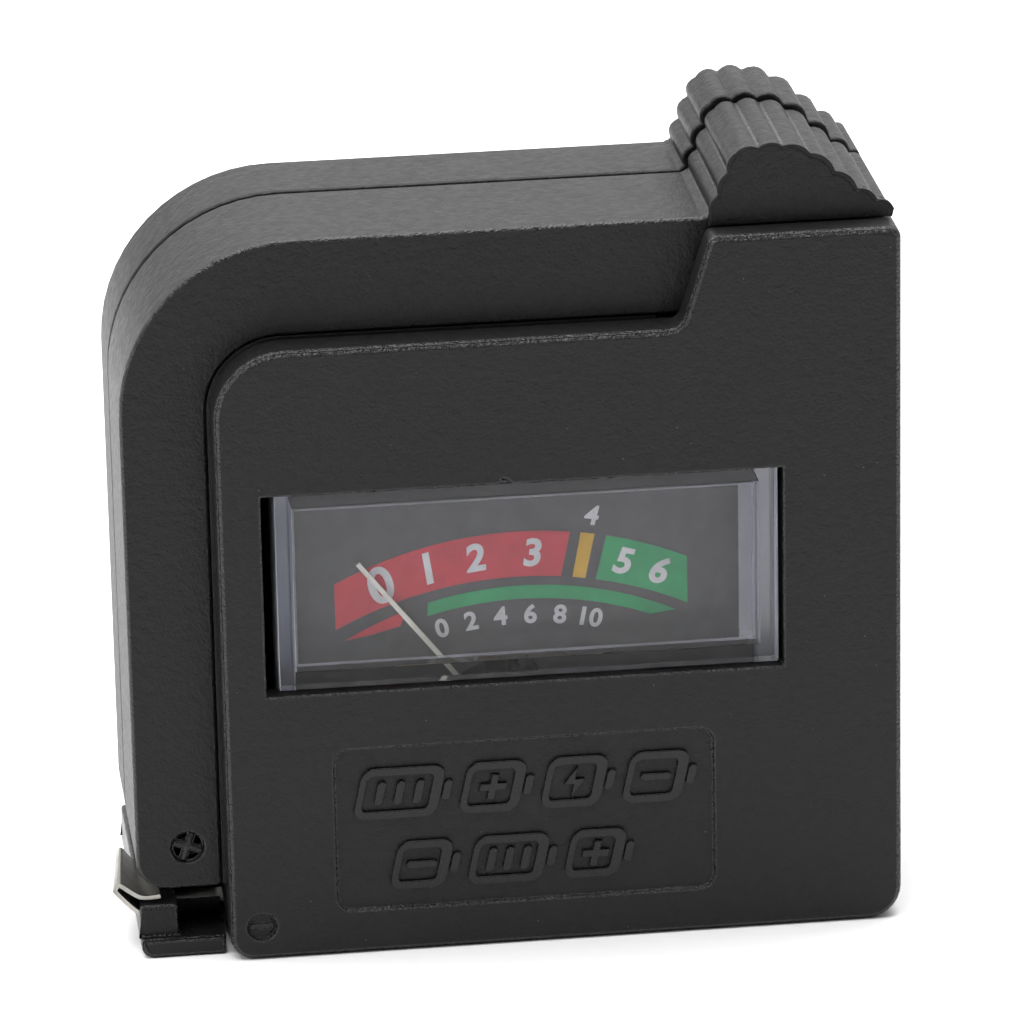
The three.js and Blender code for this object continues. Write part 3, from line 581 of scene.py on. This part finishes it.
def cell_sign(kind, width, height):
    """A lying cell: a rounded case with its cap, and a plus, minus, bolt or charge bars inside."""
    wall = 0.62
    case = [
        round_box(0, 0, width, height, 0.85, LEAN),
        round_box(wall, wall, width - wall, height - wall, 0.4, LEAN)[::-1],
    ]
    middle = height / 2
    skew = LEAN * middle
    out = [("case", case)]
    half_cap = 0.75
    cap = round_box(width + 0.12, middle - half_cap, width + 0.72, middle + half_cap, 0.22, LEAN)
    out.append(("cap", [[(x + skew - LEAN * half_cap, z) for x, z in cap]]))
    cx = width / 2 + skew
    if kind == "plus":
        a, b = 0.95, 0.27
        cross = [(-b, a), (b, a), (b, b), (a, b), (a, -b), (b, -b)]
        cross += [(-x, -z) for x, z in cross]
        out.append(("sign", [[(cx + x + LEAN * z, middle + z) for x, z in cross]]))
    elif kind == "minus":
        out.append(("sign", [stroke(cx - 0.85, middle, cx + 0.85, middle, 0.55)]))
    elif kind == "bolt":
        bolt = [(0.25, 1.15), (-0.75, -0.15), (-0.05, -0.15), (-0.3, -1.15), (0.75, 0.2), (0.05, 0.2)]
        out.append(("sign", [[(cx + x, middle + z) for x, z in bolt]]))
    else:
        half_bar = 0.9
        for i in range(3):
            x = width * (0.27 + 0.23 * i)
            bar = round_box(x - 0.3, middle - half_bar, x + 0.3, middle + half_bar, 0.25, LEAN)
            out.append(("bar" + str(i), [[(px + skew - LEAN * half_bar, pz) for px, pz in bar]]))
    return out


# Each row's signs with their widths, its start across and up, and its height.
SIGN_SPACE = 1.55
TRAY_ROWS = (
    ("upper", (("bars", 6.0), ("plus", 4.3), ("bolt", 4.3), ("minus", 4.3)), 8.9, 10.2, 3.9),
    ("lower", (("minus", 4.0), ("bars", 5.4), ("plus", 4.0)), 11.4, 4.7, 3.7),
)
for row, signs, x, z, height in TRAY_ROWS:
    for i, (kind, width) in enumerate(signs):
        for label, outlines in cell_sign(kind, width, height):
            tray_mark("tray_" + row + str(i) + "_" + label, outlines, x, z)
        x += width + SIGN_SPACE

# ---- contact strip -----------------------------------------------------------------------

# The hairpin's line from its flat end, over the nose and down into the foot. In millimetres
# from the strip's left end and its top.
STRIP_LINE = (
    (3.42, -1.14),
    (2.02, -1.14),
    (0.62, -0.18),
    (0.36, -0.2),
    (0.24, -0.4),
    (0.3, -0.7),
    (1.55, -2.08),
    (2.62, -2.78),
    (2.62, -3.48),
)
STRIP_THICK = 0.3

# The nose lies further right at the back than at the front by the skew, which is whole left of
# one place and gone right of another.
STRIP_SKEW = 0.7
SKEW_WHOLE = 0.2
SKEW_NONE = 1.9
STRIP_SLICES = 12

# The tail's start from the strip's left end, its middle from the strip's front, and its size.
TAIL_START = 2.5
TAIL_MIDDLE = 5.0
TAIL_WIDTH = 2.0
TAIL_THICK = 0.24


def smooth_line(points):
    """A Catmull-Rom line through the points."""
    steps = 8
    out = []
    for i in range(len(points) - 1):
        a = Vector(points[max(0, i - 1)])
        b, c = Vector(points[i]), Vector(points[i + 1])
        d = Vector(points[min(len(points) - 1, i + 2)])
        for k in range(steps):
            t = k / steps
            t2, t3 = t * t, t * t * t
            square = (2 * a - 5 * b + 4 * c - d) * t2
            cube = (3 * b - a - 3 * c + d) * t3
            out.append(0.5 * (2 * b + (c - a) * t + square + cube))
    out.append(Vector(points[-1]))
    return out


def contact_strip():
    """The rolled nickel hairpin on the foot, with its narrow flat tail."""
    line = smooth_line(STRIP_LINE)
    width = strip_high.y - strip_low.y
    bm = bmesh.new()
    rings = []
    for k in range(STRIP_SLICES + 1):
        share = k / STRIP_SLICES
        ring = []
        for side in (0.5, -0.5):
            run = line if side > 0 else line[::-1]
            for i, point in enumerate(run):
                j = i if side > 0 else len(line) - 1 - i
                ahead = line[min(len(line) - 1, j + 1)] - line[max(0, j - 1)]
                normal = Vector((-ahead.y, ahead.x)).normalized()
                at = point + normal * STRIP_THICK * side
                free = max(0.0, min(1.0, (SKEW_NONE - at.x) / (SKEW_NONE - SKEW_WHOLE)))
                x = strip_low.x + (at.x + STRIP_SKEW * share * free) * MM
                z = strip_high.z + min(0.0, at.y) * MM
                ring.append(bm.verts.new((x, strip_low.y + width * share, z)))
        rings.append(ring)
    count = len(rings[0])
    for a, b in zip(rings, rings[1:]):
        for i in range(count):
            bm.faces.new((a[i], a[(i + 1) % count], b[(i + 1) % count], b[i]))
    bm.faces.new(rings[0][::-1])
    bm.faces.new(rings[-1])
    tail = bmesh.ops.create_cube(bm, size=1)["verts"]
    tail_x0, tail_x1 = strip_low.x + TAIL_START * MM, strip_high.x
    for v in tail:
        v.co.x = (tail_x0 + tail_x1) / 2 + v.co.x * (tail_x1 - tail_x0)
        v.co.y = strip_low.y + (TAIL_MIDDLE + v.co.y * TAIL_WIDTH) * MM
        v.co.z = strip_low.z + (TAIL_THICK / 2 + v.co.z * TAIL_THICK) * MM
    bmesh.ops.recalc_face_normals(bm, faces=bm.faces)
    mesh = bpy.data.meshes.new("contact_strip")
    bm.to_mesh(mesh)
    bm.free()
    o = keep("contact_strip", mesh, NICKEL, "body")
    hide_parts("negative_contact")
    bevel = o.modifiers.new("bevel", "BEVEL")
    bevel.width = 0.04 * MM
    bevel.segments = 2
    bevel.angle_limit = math.radians(40)
    mesh.shade_smooth()
    mesh.set_sharp_from_angle(angle=math.radians(40))


contact_strip()

# ---- window rib and edge lines -----------------------------------------------------------

# Heights are from the panel's foot, and the depth is from the window's front.
LINE_DEPTH = 1.5
LENS_LEFT = (lens_low.x - PANEL_X) / MM
LENS_RIGHT = (lens_high.x - PANEL_X) / MM
INNER_LEFT = LENS_LEFT + 1.3
INNER_RIGHT = LENS_RIGHT - 1.35


def rib_acrylic():
    """Half-clear acrylic, frosted enough to catch the light. On the window's edge lines its pale tone is
    a painted highlight.
    """
    n = Nodes("rib_acrylic")
    cloud = n.noise(300, 3)
    frost = n.add(
        "ShaderNodeBsdfPrincipled",
        Base_Color=n.mix(n.ramp(cloud, 0.3, 0.7), (0.40, 0.40, 0.46, 1), (0.5, 0.5, 0.58, 1)),
        Roughness=n.ramp(cloud, 0.3, 0.7, 0.3, 0.5),
    )
    through = n.add("ShaderNodeBsdfTransparent")
    share = n.ramp(cloud, 0.3, 0.7, 0.28, 0.4)
    return n.finish(n.add("ShaderNodeMixShader", i0=share, i1=through.outputs[0], i2=frost.outputs[0]))


RIB = rib_acrylic()


def window_rib():
    """A shallow moulded step along the window's right side, behind its clear front."""
    right = LENS_RIGHT - 1.5
    outline = round_box(right - 1.15, 21.6, right, (lens_high.z / MM) - 1.4, 0.12)
    place = facing(PANEL_X, lens_low.y + LINE_DEPTH * MM, 0)
    relief("window_rib", [outline], 0.2, 0.04, place, RIB, "body")


def window_line(name, x0, x1, z0, z1):
    """A pale strip where two of the window's walls meet: a painted highlight along that corner."""
    outline = round_box(x0, z0, x1, z1, min(x1 - x0, z1 - z0) * 0.3)
    place = facing(PANEL_X, lens_low.y + LINE_DEPTH * MM, 0)
    relief(name, [outline], 0.1, 0.02, place, RIB, "body")


window_rib()
# The pale edge lines are painted highlights along the window's inner corners.
window_line("window_sill", INNER_LEFT, INNER_RIGHT, 21.55, 21.75)
window_line("window_head", INNER_LEFT, INNER_RIGHT, 33.25, 33.38)
window_line("window_left_line", INNER_LEFT, INNER_LEFT + 0.14, 21.8, 33.2)

# ---- grip lip and panel skirt ------------------------------------------------------------

# The thumb grip's rib valleys, back from the panel's right edge and up from the grip's underside.
GRIP_VALLEYS = (
    (0.35, 0.35),
    (1.55, 1.05),
    (2.95, 1.9),
    (4.45, 3.15),
    (6.1, 4.5),
    (7.95, 5.15),
    (9.65, 5.15),
    (11.2, 4.85),
    (11.75, 3.5),
    (12.4, 1.95),
    (13.0, 0.6),
)
GRIP_MIDDLE = Vector((6.5, 0.9))
GRIP_LEFT = 13.1
GRIP_RIGHT = 0.5
SCALLOP_STEPS = 8

# The running gap between the arm and the body, the height of the panel's left part and the
# radius of its upper left corner.
RUNNING_GAP = 0.3
LEFT_TOP = 45.65
PANEL_CORNER = 5.0
ARM_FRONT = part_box("arm_front_shell")[0].y


def grip_plate(name, offset, swell, thickness, depth, foot_gap):
    """A plate in the shape of the grip's front. Its rim is moved out by an offset, or in below zero."""
    right = (panel_high.x - PANEL_X) / MM
    foot = panel_high.z / MM + RUNNING_GAP
    valleys = []
    for dx, dz in GRIP_VALLEYS:
        point = Vector((dx, dz))
        valleys.append(point + (point - GRIP_MIDDLE).normalized() * offset)
    outline = []
    for a, b in zip(valleys, valleys[1:]):
        chord = b - a
        out = Vector((-chord.y, chord.x)).normalized()
        if out.dot(a - GRIP_MIDDLE) < 0:
            out = -out
        for k in range(SCALLOP_STEPS):
            t = k / SCALLOP_STEPS
            point = a + chord * t + out * chord.length * swell * 4 * t * (1 - t)
            outline.append((right - point.x, foot + point.y))
    outline.append((right - valleys[-1].x, foot + valleys[-1].y))
    outline.append((right - GRIP_LEFT - offset, foot - foot_gap))
    outline.append((right - GRIP_RIGHT + offset, foot - foot_gap))
    place = facing(PANEL_X, ARM_FRONT - depth * MM, 0)
    relief(name, [outline[::-1]], thickness, 0.07, place, ARM_BLACK, "arm")


def panel_skirt():
    """The front cover's ledge beside the arm, which closes the running gap behind the arm's face."""
    top = panel_low.z / MM + LEFT_TOP
    foot, end = 4.9, 31.5
    reach, hidden = 0.26, 0.1
    corner = (PANEL_CORNER, top - PANEL_CORNER)
    outer = [(-reach, foot)] + arc(*corner, PANEL_CORNER + reach, -90, 0, 16) + [(end, top + reach)]
    inner = [(end, top - hidden)] + arc(*corner, PANEL_CORNER - hidden, 0, -90, 16) + [(hidden, foot)]
    place = facing(PANEL_X, ARM_FRONT + 0.32 * MM, 0)
    relief("panel_skirt", [outer + inner], 0.5, 0.05, place, BLACK, "body")


grip_plate("grip_lip", 0.2, 0.17, 0.5, 0.23, 0.24)
grip_plate("grip_face", -0.1, 0.15, 0.14, 0.5, 0.18)
# The tongue where the arm's two shells meet inside the grip: it closes the seam to light.
seam_middle = (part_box("arm_front_shell")[1].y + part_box("arm_rear_shell")[0].y) / 2
seam_depth = (ARM_FRONT - seam_middle) / MM
grip_plate("grip_tongue", -0.5, 0.1, 0.62, seam_depth, 0.0)
panel_skirt()

# ---- foot post ribs ----------------------------------------------------------------------


def foot_ribs():
    """Fine upright ribs moulded on the front of the foot's post."""
    depth = ARM_FRONT - 0.43 * MM
    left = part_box("back_cover")[0].x
    outline = round_box(-0.08, 1.5, 0.08, 3.5, 0.07)
    for i in range(6):
        place = facing(left + (0.42 + 0.37 * i) * MM, depth, 0)
        relief("foot_rib_" + str(i), [outline], 0.1, 0.03, place, FOOT, "body")


foot_ribs()

# ---- stage and light ---------------------------------------------------------------------

FLOOR_REACH = 3.0
TENT_STRENGTH = 0.44
ROOM_TONE = (0.12, 0.12, 0.12, 1)


def floor():
    """A pale floor just under the object's feet."""
    n = Nodes("floor_white")
    shader = n.add(
        "ShaderNodeBsdfPrincipled",
        Base_Color=n.mix(n.ramp(n.noise(3), 0.3, 0.7), grey(0.9), grey(0.92)),
        Roughness=0.9,
    )
    material = n.finish(shader)
    mesh = bpy.data.meshes.new("floor")
    corners = [(x * FLOOR_REACH, y * FLOOR_REACH, 0) for x, y in ((-1, -1), (1, -1), (1, 1), (-1, 1))]
    mesh.from_pydata(corners, [], [(0, 1, 2, 3)])
    mesh.materials.append(material)
    o = bpy.data.objects.new("floor", mesh)
    bpy.context.scene.collection.objects.link(o)
    o.location.z = -0.02 * MM


def lamp(name, place, aim, size, power):
    """A soft box of a width and height, at a place and turned to face its aim."""
    data = bpy.data.lights.new(name, "AREA")
    data.shape = "RECTANGLE"
    data.size, data.size_y = size
    data.energy = power
    o = bpy.data.objects.new(name, data)
    bpy.context.scene.collection.objects.link(o)
    o.location = place
    o.rotation_mode = "QUATERNION"
    o.rotation_quaternion = (Vector(aim) - Vector(place)).to_track_quat("-Z", "Y")


floor()
lamp("top_softbox", (-0.05, 0.05, 0.75), (0, 0, 0.02), (0.9, 0.7), 12)
lamp("left_softbox", (-0.8, 0.1, 0.35), (0, 0, 0.03), (0.7, 0.6), 4.2)
lamp("back_softbox", (0.1, 0.9, 0.5), (0, 0, 0.03), (1.4, 0.9), 5)


def studio_world():
    """A white tent, open and darker low on the front side, where the room shows."""
    world = bpy.data.worlds.new("studio")
    bpy.context.scene.world = world
    world.use_nodes = True
    tree = world.node_tree
    background = tree.nodes["Background"]
    background.inputs["Strength"].default_value = TENT_STRENGTH
    direction = tree.nodes.new("ShaderNodeTexCoord").outputs["Generated"]
    parts = tree.nodes.new("ShaderNodeSeparateXYZ")
    tree.links.new(direction, parts.inputs[0])
    ranges = []
    for axis, low, high in (("Y", -0.25, -0.7), ("Z", 0.62, 0.40)):
        made = tree.nodes.new("ShaderNodeMapRange")
        made.interpolation_type = "SMOOTHSTEP"
        made.inputs[1].default_value = low
        made.inputs[2].default_value = high
        tree.links.new(parts.outputs[axis], made.inputs[0])
        ranges.append(made.outputs[0])
    both = tree.nodes.new("ShaderNodeMath")
    both.operation = "MULTIPLY"
    tree.links.new(ranges[0], both.inputs[0])
    tree.links.new(ranges[1], both.inputs[1])
    tone = tree.nodes.new("ShaderNodeMix")
    tone.data_type = "RGBA"
    tree.links.new(both.outputs[0], tone.inputs[0])
    tone.inputs[6].default_value = (1, 1, 1, 1)
    tone.inputs[7].default_value = ROOM_TONE
    tree.links.new(tone.outputs[2], background.inputs["Color"])


studio_world()
bpy.context.scene.view_settings.view_transform = "Standard"
